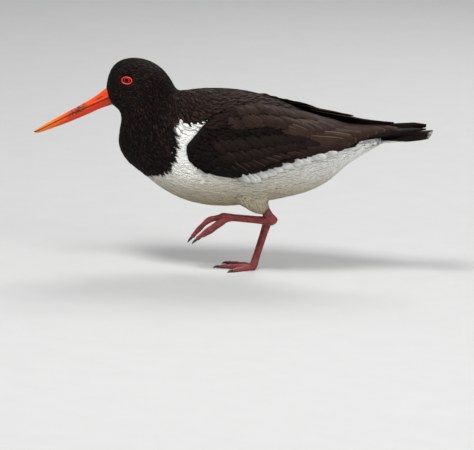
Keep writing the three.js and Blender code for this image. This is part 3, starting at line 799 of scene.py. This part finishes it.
def eye_paint(props):
    """Black pupil, red iris with fine rays and a dark rim, by the distance kept in the Iris map."""
    paint = Paint("wet_eye", roughness=0.12, specular_level=0.12, coat_weight=0.15, coat_roughness=0.02)
    u, v = paint.uv("Iris")
    rays = paint.noise(paint.node("ShaderNodeCombineXYZ", {}, [v * 60, u * 3, 0.0]), 1.0, 3)
    iris = paint.layers(
        props.iris,
        (paint.step(rays, 0.3, 0.7), (0.30, 0.004, 0.004)),
        (paint.step(u, 0.72, 0.86), (0.008, 0.001, 0.001)),
    )
    return paint.feed(base_color=paint.mix(paint.step(u, 0.5, 0.55), (0.001, 0.001, 0.001), iris))


# Settings

def colour(name, description, value):
    settings = {"subtype": "COLOR", "size": 3, "min": 0, "max": 1}
    return FloatVectorProperty(name=name, description=description, default=value, **settings)


def measure(name, description, value, unit="LENGTH"):
    return FloatProperty(name=name, description=description, default=value, unit=unit)


def tilt(name, description, degrees):
    return FloatProperty(name=name, description=description, default=math.radians(degrees), subtype="ANGLE")


class PlumageSettings(bpy.types.PropertyGroup):
    skin_voxel: measure("Skin voxel", "Grain of the skin's mesh", 0.0018)
    coat_depth: measure("Coat depth", "How deep the skin lies under the coat", 0.0012)
    head_gap: measure("Head gap", "Spacing of feathers on the head", 0.0011)
    body_gap: measure("Body gap", "Spacing of feathers on the belly", 0.0017)
    seed: IntProperty(name="Seed", description="Seed for the scatter of feathers", default=7)
    black: colour("Black", "Head, neck and breast", (0.0022, 0.0016, 0.0014))
    brown: colour("Brown", "Mantle", (0.017, 0.0095, 0.0072))
    # A painted highlight: the sheen laid over the dark feathers.
    painted_sheen: colour("Sheen", "Lighter feathers among the dark ones", (0.043, 0.0235, 0.0165))
    white: colour("White", "Shoulder, flank and wing bar", (0.86, 0.855, 0.83))
    # Painted shade of the lower belly, warmed by reflected light from below.
    belly_shade: colour("Buff", "Shaded belly", (0.345, 0.285, 0.145))
    covert: colour("Covert", "Wing coverts", (0.0026, 0.0019, 0.0017))
    tertial: colour("Tertial", "Tertials and rear scapulars", (0.030, 0.0142, 0.0100))
    fringe: colour("Fringe", "Worn edges of the large feathers", (0.24, 0.155, 0.115))


class BarePartSettings(bpy.types.PropertyGroup):
    bill: colour("Bill", "Bill along most of its length", (0.78, 0.062, 0.004))
    bill_tip: colour("Bill tip", "Yellower end of the bill", (0.84, 0.20, 0.010))
    leg: colour("Leg", "Scaly skin of the legs", (0.36, 0.045, 0.038))
    leg_dark: colour("Leg shade", "Darker patches of the legs", (0.15, 0.018, 0.018))
    ring: colour("Eye ring", "Bare skin round the eye", (0.80, 0.035, 0.012))
    iris: colour("Iris", "Iris", (0.50, 0.006, 0.004))


class StageSettings(bpy.types.PropertyGroup):
    elevation: tilt("Elevation", "Camera's angle above level", 11)
    roll: tilt("Roll", "Camera's roll", 2.6)
    distance: measure("Distance", "Camera's distance", 6.0)
    key_power: measure("Key light", "Power of the key light", 46.0, "POWER")


# Operators

class BIRD_OT_skin(bpy.types.Operator):
    """One skin through torso, neck, head, thighs and tail, just under the coat"""
    bl_idname = "bird.skin"
    bl_label = "Skin"

    def execute(self, context):
        props = context.scene.bird_plumage
        flesh = ["torso", "neck", "head", "thigh_left", "thigh_right"]
        bm = bmesh.new()
        for name in [*flesh, "tail"]:
            self.add_solid(bm, name)
        obj = finish_object("plumage_skin", bm, skin_paint(props), flesh)
        remesh = obj.modifiers.new("Remesh", "REMESH")
        remesh.mode = "VOXEL"
        remesh.voxel_size = props.skin_voxel
        smooth = obj.modifiers.new("Smooth", "SMOOTH")
        smooth.factor = 0.5
        smooth.iterations = 6
        apply_modifiers(obj)
        place, normal = (rows_of(obj.data.vertices, key) for key in ("co", "normal"))
        on_head = between(place[:, 0], -0.095, -0.115) * between(place[:, 2], 0.15, 0.17)
        place -= normal * (props.coat_depth * (1 - 0.45 * on_head))[:, None]
        obj.data.vertices.foreach_set("co", place.ravel())
        smooth_faces(obj.data)
        obj.data.update()
        return {"FINISHED"}

    def add_solid(self, bm, name):
        """Adds a node's solid in millimetres, without the far end of the tail's feathers."""
        part = bmesh.new()
        part.from_mesh(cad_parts[name].data)
        bmesh.ops.remove_doubles(part, verts=part.verts, dist=1e-6)
        if name == "tail":
            bmesh.ops.bisect_plane(
                part, geom=part.verts[:] + part.edges[:] + part.faces[:], dist=1e-7,
                plane_co=(0.122, 0, 0), plane_no=(1, 0, 0), clear_outer=True)
            bmesh.ops.holes_fill(part, edges=[e for e in part.edges if e.is_boundary], sides=0)
        bmesh.ops.scale(part, vec=(1000, 1000, 1000), verts=part.verts)
        copy = bpy.data.meshes.new(name + "_copy")
        part.to_mesh(copy)
        part.free()
        bm.from_mesh(copy)
        bpy.data.meshes.remove(copy)


class BIRD_OT_coat(bpy.types.Operator):
    """Small overlapping feathers over the skin, finest on the head"""
    bl_idname = "bird.coat"
    bl_label = "Coat"

    def kinds_of(self, spots):
        """Which piece of the coat each place belongs to, or bare where no small feather grows."""
        x, y, z = spots.T
        out = np.abs(y)
        front = np.interp(z, *np.array(FRONT_EDGE[:-1]).T)
        upper, lower = wing_edges(x)
        degrees = from_ridge(y, z, 55)
        under_wing = (-73 < x) & (x < 84) & (upper - 2 < degrees) & (degrees < lower + 1) & (out > 24)
        by_eye = [((spots - eye_place(side)) ** 2).sum(1) < EYE_ROOM ** 2 for side in SIDES.values()]
        by_bill = (x < -149.5) & (158 < z) & (z < 179)
        kinds, places = zip(
            ("bare", by_eye[0] | by_eye[1] | by_bill),
            ("leg", (z < 76) & (-14 < x) & (x < 26) & (out > 9)),
            ("head", (x < -92) & (z > 160 - 0.2 * (x + 92))),
            ("neck", (x < -80) & ((x < front) | (z > 154))),
            ("mantle", np.where(under_wing, (degrees < 60) & (x < 40), (z > 150) & (x < 60))),
            ("bare", under_wing),
        )
        return np.select(places, kinds, "body")

    def execute(self, context):
        props = context.scene.bird_plumage
        rng = np.random.default_rng(props.seed)
        spots, tree = scatter(bpy.data.objects["plumage_skin"].data, rng, COAT_DENSITY)
        kinds = self.kinds_of(spots)
        gaps = {"head": props.head_gap * 1000, "body": props.body_gap * 1000}
        paint = coat_paint(props)
        for kind in COAT_KINDS:
            some = spaced(spots[kinds == kind], gaps.get(kind, SMALL[kind][3]))
            some = some[np.argsort(some[:, 0], kind="stable")]
            for k, piece in enumerate(np.array_split(some, 1 + len(some) // PIECE_SPOTS)):
                name = f"coat_{kind}_{k + 1}"
                new_object(name, small_vanes(name, kind, piece, tree, rng), paint)
        return {"FINISHED"}


class BIRD_OT_wings(bpy.types.Operator):
    """Rows of large feathers on each folded wing, over a dark bed with small coverts"""
    bl_idname = "bird.wings"
    bl_label = "Wings"

    # Small feathers on the bed: places tried a square millimetre, how far back they reach, their
    # height above it and how black they are.
    ON_BED = {"small_coverts": (1.2, 30, 0.0, 0.95), "shoulder": (1.6, -26, 1.5, 0.6)}
    # In a row the tips stray in x and degrees, widths and lifts vary, and each feather lies on the
    # next. From some way back they keep clear of the tail.
    STRAY, WIDTHS, LIFT, LAYER, CLEAR_FROM = (1.3, 1.0), (0.95, 1.06), 0.18, 0.35, 96

    def execute(self, context):
        props = context.scene.bird_plumage
        paint = quill_paint(props)
        blacks = props.covert, (0.010, 0.0085, 0.008)
        dark = grain_paint("wing_bed", 700, blacks, (0.5, 0.3), roughness=0.8, specular_level=0.1)
        for name, side in SIDES.items():
            rng = np.random.default_rng(11 + side)
            pieces = [self.row(side, row, rng) for row in WING_ROWS]
            points = np.concatenate([piece[0] for piece in pieces])
            values = {key: np.concatenate([piece[1][key] for piece in pieces]) for key in pieces[0][1]}
            piece = "wing_feathers_" + name
            large_feathers(piece, points, side, values, paint, ["wing_" + name])
            bm = bmesh.new()
            self.bed(bm, side)
            bed = finish_object("wing_bed_" + name, bm, dark)
            for kind, (density, back, above, black) in self.ON_BED.items():
                spots, tree = scatter(bed.data, rng, density)
                outer = (spots[:, 0] < back) & (spots[:, 1] * side > 20)
                spots = spaced(spots[outer], SMALL[kind][3])
                x, degrees = spots[:, 0], from_ridge(spots[:, 1], spots[:, 2])
                if kind == "shoulder":
                    covered = degrees < 63 - 0.1 * (x + 50)
                else:
                    covered = (degrees > 58) & (degrees < 103 + np.clip(-0.15 * x, 0, 8))
                piece = f"{kind}_{name}"
                mesh = small_vanes(piece, kind, spots[covered], tree, rng, above, black)
                new_object(piece, mesh, paint)
        return {"FINISHED"}

    def bed(self, bm, side):
        """The wing's mass of coverts: a sheet between its edges, sunk at them and thickened inwards."""
        grid = bmesh.ops.create_grid(bm, x_segments=60, y_segments=24, size=0.5)["verts"]
        first, last = WING_MASS[[0, -1], 0]
        sunk, thick = 0.9, 5
        for vert in grid:
            x = first + (last - first) * (vert.co.x + 0.5) ** 1.25
            upper, lower = wing_edges(x)
            degrees = upper + (lower - upper) * (vert.co.y + 0.5)
            out = -sunk * abs(2 * vert.co.y) ** 4
            vert.co = Vector(wing_skin(side, np.array(x), degrees, out - sunk))
        faces = list(bm.faces)
        bmesh.ops.recalc_face_normals(bm, faces=faces)
        if sum(face.normal.y * side for face in faces) < 0:
            bmesh.ops.reverse_faces(bm, faces=faces)
        bmesh.ops.solidify(bm, geom=faces, thickness=thick)
        # The scatter of small feathers follows the order of the faces, so the order has to be fixed.
        slant = Vector((1, 0.618, 0.272))
        bm.faces.sort(key=lambda face: face.calc_center_median().dot(slant))

    def row(self, side, row, rng):
        """Points of one row of feathers, and what the paint reads for each feather."""
        name, count, roots, tips, widths, outs, (black, white, edged) = row
        roots, tips = np.reshape(roots, (2, 2)).astype(float), np.reshape(tips, (2, 2)).astype(float)
        if side > 0 and name == "tertials":
            outs = (outs[0], -1.0)
        if side > 0 and name in OVER_RIDGE:
            roots[1, 1] -= 16
            tips[1, 1] -= 18
            count += 2
        order = np.linspace(0, 1, count)
        stray = rng.normal(0, 1, (count, 2)) * self.STRAY
        root = np.outer(1 - order, roots[0]) + np.outer(order, roots[1])
        tip = np.outer(1 - order, tips[0]) + np.outer(order, tips[1]) + stray
        width = (widths[0] + (widths[1] - widths[0]) * order) * rng.uniform(*self.WIDTHS, count)
        run, turn = (tip - root).T
        drop = turn * wing_degree(root[:, 0], root[:, 1])
        length = np.hypot(run, drop)

        def col(values):
            return values[:, None, None]

        s = np.linspace(0, 1, 9)[None, :, None]
        a, b = LARGE_VANE.T
        across = a * feather_outline(s, 2.4) * col(width) / 2
        x = col(root[:, 0]) + s * col(run) - across * col(drop / length)
        middle = col(root[:, 1]) + s * col(turn)
        degrees = middle + across * col(run / length) / wing_degree(x, middle)
        lift = rng.normal(0, self.LIFT, count)
        out = outs[0] + (outs[1] - outs[0]) * np.minimum(1, s * 1.6) + col(lift) * s
        out = out - SHINGLE * across + b * VANE_DEPTH * feather_outline(s, 2.4)
        out = out - EDGE_CURL * a ** 2 * s
        points = wing_skin(side, x, degrees, out)
        layer = self.LAYER * (count - np.arange(count))
        floor = over_tail(x, points[..., 1]) + col(layer) + 0.2 * b
        points[..., 2] = np.where(x > self.CLEAR_FROM, np.maximum(points[..., 2], floor), points[..., 2])
        if name == "greater_coverts":
            black = np.linspace(1, 0.3, count)
        return points, marks(count, rng.random(count), black, white * 1.2, edged)


class BIRD_OT_tail(bpy.types.Operator):
    """Twelve overlapping tail feathers, white at the base and black at the end"""
    bl_idname = "bird.tail"
    bl_label = "Tail"

    def execute(self, context):
        paint = quill_paint(context.scene.bird_plumage)
        (root_x, root_z), (tip_x, tip_z) = TAIL["root"], TAIL["tip"]
        count = TAIL["pairs"]
        order = np.arange(count)[:, None, None]
        fan = (order + 0.5) / count
        s = np.linspace(0, 1, 10)[None, :, None]
        a, b = LARGE_VANE.T
        across = a * feather_outline(s, 4.0) * TAIL["width"] / 2
        for name, side in SIDES.items():
            x = root_x + (tip_x - 5 * fan * fan - root_x) * s
            y = side * (4 * fan + (TAIL["spread"] - 4) * fan * s + across)
            sag = TAIL["layer"] * order + (0.4 if side < 0 else 0) - 0.06 * across
            z = root_z + (tip_z - root_z) * s - sag - 0.004 * y * y + 0.25 * b
            points = np.stack(np.broadcast_arrays(x, y, z), -1)
            tone = np.random.default_rng(5).random(count)
            values = marks(count, tone, 0.75, np.linspace(0.1, 0.66, count) ** 1.3, 0)
            replaced = ["tail"] if name == "left" else []
            large_feathers("tail_feathers_" + name, points, 1, values, paint, replaced)
        return {"FINISHED"}


class BIRD_OT_bill(bpy.types.Operator):
    """Upper and lower bill, with a groove and slit for each nostril"""
    bl_idname = "bird.bill"
    bl_label = "Bill"

    # The slit of a nostril: its level on the half, its middle along the bill and its reach, as shares.
    SLIT = (0.42, 0.28, 0.055)

    def execute(self, context):
        paint = bill_paint(context.scene.bird_bare)
        for name in ("bill_upper", "bill_lower"):
            bm = bmesh.new()
            self.half(bm, name == "bill_upper")
            finish_object(name + "_horn", bm, paint, [name])
        return {"FINISHED"}

    def half(self, bm, upper):
        """Half of the bill: ovals from the line of the mouth to the culmen or the underside."""
        steps = 56
        lines = [smooth_path([(s[k][0], 0, s[k][1]) for s in BILL], steps) for k in range(3)]
        halves = np.interp(np.linspace(0, len(BILL) - 1, steps + 1), range(len(BILL)), [s[3] for s in BILL])
        rings = []
        lip = bm.verts.layers.float.new("lip")
        nostril = bm.verts.layers.float.new("nostril")
        level, middle, reach = self.SLIT
        for k, (top, mouth, bottom, wide) in enumerate(zip(*lines, halves)):
            towards = (top if upper else bottom) - mouth
            front, deep = towards.normalized(), towards.length - 0.1
            centre = mouth + front * 0.1
            share = k / steps
            along_slit = math.exp(-((share - middle) / reach) ** 4)
            ring = bmesh.ops.create_circle(bm, cap_ends=False, segments=40, radius=1)["verts"]
            for vert in ring:
                a, b = vert.co.x, vert.co.y
                groove = slit = 0.0
                if upper and b > 0:
                    slit = math.exp(-(((b - level) / 0.06) ** 2)) * along_slit
                    furrow = 0.20 * math.exp(-((share - 0.26) / 0.13) ** 2) + 0.05 * (share < 0.6)
                    groove = math.exp(-(((b - level) / 0.14) ** 2)) * furrow + 0.22 * slit
                elif b > 0:
                    groove = 0.08 * math.exp(-(((b - 0.5) / 0.15) ** 2)) * (share < 0.45)
                across = math.copysign(abs(a) ** 0.8, a) * wide * (1 - groove)
                up = b * deep if b > 0 else b * 0.12 * min(deep, 2)
                # Closeness to the line of the mouth, which the paint reads as painted shade in its crease.
                vert[lip] = math.exp(-max(0.0, up) / 0.55) if share > 0.03 else 0
                # How deep a point lies in the nostril's slit, which the paint reads as painted shade.
                vert[nostril] = slit
                vert.co = centre + Vector((0, across, 0)) + front * up
            rings.append(ring)
        join_rings(bm, rings)


class BIRD_OT_eyes(bpy.types.Operator):
    """Wet red eyes, each in its ring of bare skin"""
    bl_idname = "bird.eyes"
    bl_label = "Eyes"

    def execute(self, context):
        props = context.scene.bird_bare
        wet, skin = eye_paint(props), ring_paint(props)
        for name, side in SIDES.items():
            out = Vector((-math.sin(EYE["turn"]), side * math.cos(EYE["turn"]), 0.05)).normalized()
            turn = out.to_track_quat("Z", "Y").to_matrix().to_4x4()
            level = Vector(eye_place(side))
            inner = level + out * (EYE["proud"] - EYE["radius"])
            for piece, drawn, centre, paint, slot, node in (
                ("eye_ball_", self.ball, inner, wet, "eye", "eye_"),
                ("eye_skin_", self.ring, level, skin, "eye_ring", "eye_ring_"),
            ):
                bm = bmesh.new()
                drawn(bm)
                bmesh.ops.transform(bm, matrix=Matrix.Translation(centre) @ turn, verts=bm.verts)
                finish_object(piece + name, bm, paint, [node + name])
        return {"FINISHED"}

    def ball(self, bm):
        """A ball that bulges at the pupil, with the distance from the pupil in the Iris map."""
        iris, pupil = 4.1, 3
        bmesh.ops.create_uvsphere(bm, u_segments=48, v_segments=32, radius=EYE["radius"])
        layer = bm.loops.layers.uv.new("Iris")
        for loop in (loop for face in bm.faces for loop in face.loops):
            co = loop.vert.co
            reach = math.hypot(co.x, co.y) if co.z > 0 else EYE["radius"]
            loop[layer].uv = (min(1, reach / iris), math.atan2(co.y, co.x) / (2 * math.pi) + 0.5)
        for vert in bm.verts:
            reach = math.hypot(vert.co.x, vert.co.y)
            if vert.co.z > 0 and reach < pupil:
                vert.co.z += 0.35 * (1 - (reach / pupil) ** 2) ** 2

    def ring(self, bm):
        """Bare skin: a thin, slightly rippled tube on an oval, bent back at both ends."""
        wide, high, thick, around = 5.15, 3.45, 0.6, 56
        rings = []
        for k in range(around):
            angle = 2 * math.pi * k / around
            out = Vector((math.cos(angle), math.sin(angle), 0))
            ripple = 1 + 0.03 * math.sin(angle * 7) + 0.02 * math.sin(angle * 11 + 1)
            spot = Vector((wide * out.x, high * out.y, 0.35 - 0.05 * abs(out.x) * wide))
            rings.append(oval(bm, spot, out, Vector((0, 0, 1)), thick * ripple, thick, 12))
        join_rings(bm, rings, closed=True)


class BIRD_OT_legs(bpy.types.Operator):
    """Scaly legs and toes with claws, the left foot lifted"""
    bl_idname = "bird.legs"
    bl_label = "Legs"

    def execute(self, context):
        skin = leg_paint(context.scene.bird_bare)
        browns = (0.012, 0.009, 0.008), (0.06, 0.045, 0.038)
        horn = grain_paint("claw_horn", 700, browns, (0.3, 0.1), roughness=0.34)
        for side in SIDES:
            self.limb(side, skin)
            for toe in TOES[side]:
                self.toe(side, toe, skin)
                self.claw(side, toe, horn)
        return {"FINISHED"}

    def tube(self, side, name, node, path, deep, wide, segments, paint, slot, swell=None):
        """A limb along a path. The standing foot lies flat on the ground."""
        bm = bmesh.new()
        sweep(bm, oval_stations(path, deep, wide), segments, swell)
        if side == "right":
            for vert in bm.verts:
                vert.co.z = max(vert.co.z, 0.0)
        finish_object(name, bm, paint, [node])

    def scutes(self, face, height, waves):
        """A swell for the rows of scales on the front or upper face of a limb."""
        return lambda share, angle: 1 + height * max(0.0, face * math.sin(angle)) * math.sin(share * waves)

    def limb(self, side, paint):
        hock, knuckle = Vector(HOCK[side]), Vector(KNUCKLE[side])
        before, top = (Vector(p) for p in SHANK_TOP[side])
        below = hock + (hock - top).normalized() * 3.2
        for part, start, end, steps, swell in (
            ("shank", top + (before - top) * 0.5, below, 14, None),
            ("tarsus", hock, hock + (knuckle - hock) * 1.055, 60, self.scutes(-1, 0.02, 150)),
        ):
            path = [start.lerp(end, k / steps) for k in range(steps + 1)]
            deep, wide = (table(pairs) for pairs in GIRTHS[part])
            name, node = f"{part}_skin_{side}", f"{part}_{side}"
            self.tube(side, name, node, path, deep, wide, 20, paint, "leg_skin", swell)

    def toe(self, side, toe, paint):
        joints = TOES[side][toe]
        knobs = len(joints) - 1
        if side == "left" and toe != "middle":
            joints = [Vector(HOCK[side]).lerp(Vector(KNUCKLE[side]), 0.8), *joints]

        def girth(share):
            end = 1 if share < 0.93 else math.sqrt(max(0.05, 1 - ((share - 0.93) / 0.072) ** 2))
            return (6.6 - 2.4 * share) * (1 + 0.08 * math.cos(2 * math.pi * share * knobs)) * end

        node = f"toe_{toe}_{side}"
        self.tube(side, node + "_skin", node, smooth_path(joints, 45), girth, lambda s: girth(s) * 0.95,
                  18, paint, "leg_skin", self.scutes(1, 0.03, 95))

    def claw(self, side, toe, paint):
        before, last = (Vector(p) for p in TOES[side][toe][-2:])
        along = (last - before).normalized()
        down = Vector((0.25, 0, -0.2)) if along.z < -0.3 else Vector((0, 0, -1))
        drops = [(0, 0), (0.35, -0.2), (0.7, 0.3), (1, 1.3)]
        spots = [last + along * (0.1 + 6.5 * s) + down * d for s, d in drops]
        girth = table([(0, 3.0), (0.35, 2.5), (0.7, 1.6), (1, 0.5)])
        node = f"claw_{toe}_{side}"
        self.tube(side, node + "_horn", node, smooth_path(spots, 16), girth, lambda s: girth(s) * 0.8,
                  14, paint, "claw")


class BIRD_OT_stage(bpy.types.Operator):
    """Pale floor, soft studio light and the camera"""
    bl_idname = "bird.stage"
    bl_label = "Stage"

    # Place, size and share of the key light's power
    LIGHTS = {
        "key": ((-0.5, -0.9, 2.0), 0.7, 1.0),
        "fill": ((1.3, -1.2, 0.9), 1.2, 0.28),
        "rim": ((0.6, 1.4, 1.5), 0.8, 0.5),
    }

    def execute(self, context):
        props = context.scene.bird_stage
        bm = bmesh.new()
        bmesh.ops.create_grid(bm, x_segments=8, y_segments=8, size=6000)
        floor = self.link("floor", finish_mesh(bm, "floor"))
        greys = (0.46, 0.46, 0.45), (0.50, 0.50, 0.49)
        floor.data.materials.append(grain_paint("pale_floor", 30, greys, roughness=0.75))
        world = bpy.data.worlds.new("studio")
        world.use_nodes = True
        sky = world.node_tree.nodes["Background"].inputs
        sky[0].default_value = (0.86, 0.89, 0.92, 1)
        sky[1].default_value = 0.36
        context.scene.world = world
        for name, (place, size, share) in self.LIGHTS.items():
            data = bpy.data.lights.new(name, "AREA")
            data.size = size
            data.energy = props.key_power * share
            lamp = self.link(name, data)
            lamp.location = place
            lamp.rotation_euler = (Vector((0, 0, 0.1)) - Vector(place)).to_track_quat("-Z", "Y").to_euler()
        self.camera(context, props)
        context.scene.view_settings.view_transform = "Standard"
        return {"FINISHED"}

    def link(self, name, data):
        obj = bpy.data.objects.new(name, data)
        bpy.context.scene.collection.objects.link(obj)
        return obj

    def camera(self, context, props):
        """A long lens that sees 474 mm across at the bird, aimed a little behind its breast."""
        sensor, across, aim = 36, 0.474, (-18.0, 43.6)
        sideways = Vector((1, 0, 0))
        up = Vector((0, math.sin(props.elevation), math.cos(props.elevation)))
        ahead = Vector((0, up.z, -up.y))
        right = math.cos(props.roll) * sideways + math.sin(props.roll) * up
        top = -math.sin(props.roll) * sideways + math.cos(props.roll) * up
        target = (sideways * aim[0] + up * aim[1]) * MM
        data = bpy.data.cameras.new("camera")
        data.lens = props.distance * sensor / across
        data.sensor_width = sensor
        data.clip_end = 50
        camera = self.link("camera", data)
        camera.matrix_world = placed(right, top, -ahead, target - ahead * props.distance)
        context.scene.camera = camera


class BIRD_PT_panel(bpy.types.Panel):
    """Steps that build the bird, and its settings"""
    bl_idname = "BIRD_PT_panel"
    bl_label = "Oystercatcher"
    bl_space_type = "VIEW_3D"
    bl_region_type = "UI"
    bl_category = "Oystercatcher"

    def draw(self, context):
        for step in STEPS:
            self.layout.operator(step.bl_idname)
        for group in SETTINGS:
            settings = getattr(context.scene, group)
            box = self.layout.box()
            for key in settings.__annotations__:
                box.prop(settings, key)


SETTINGS = {
    "bird_plumage": PlumageSettings,
    "bird_bare": BarePartSettings,
    "bird_stage": StageSettings,
}
STEPS = (
    BIRD_OT_skin, BIRD_OT_coat, BIRD_OT_wings, BIRD_OT_tail,
    BIRD_OT_bill, BIRD_OT_eyes, BIRD_OT_legs, BIRD_OT_stage,
)


def register():
    for cls in (*SETTINGS.values(), *STEPS, BIRD_PT_panel):
        bpy.utils.register_class(cls)
    for key, cls in SETTINGS.items():
        setattr(bpy.types.Scene, key, PointerProperty(type=cls))


def unregister():
    for key in SETTINGS:
        delattr(bpy.types.Scene, key)
    for cls in reversed((*SETTINGS.values(), *STEPS, BIRD_PT_panel)):
        bpy.utils.unregister_class(cls)


def main():
    register()
    for step in ("skin", "coat", "wings", "tail", "bill", "eyes", "legs", "stage"):
        getattr(bpy.ops.bird, step)()


if __name__ == "__main__":
    main()
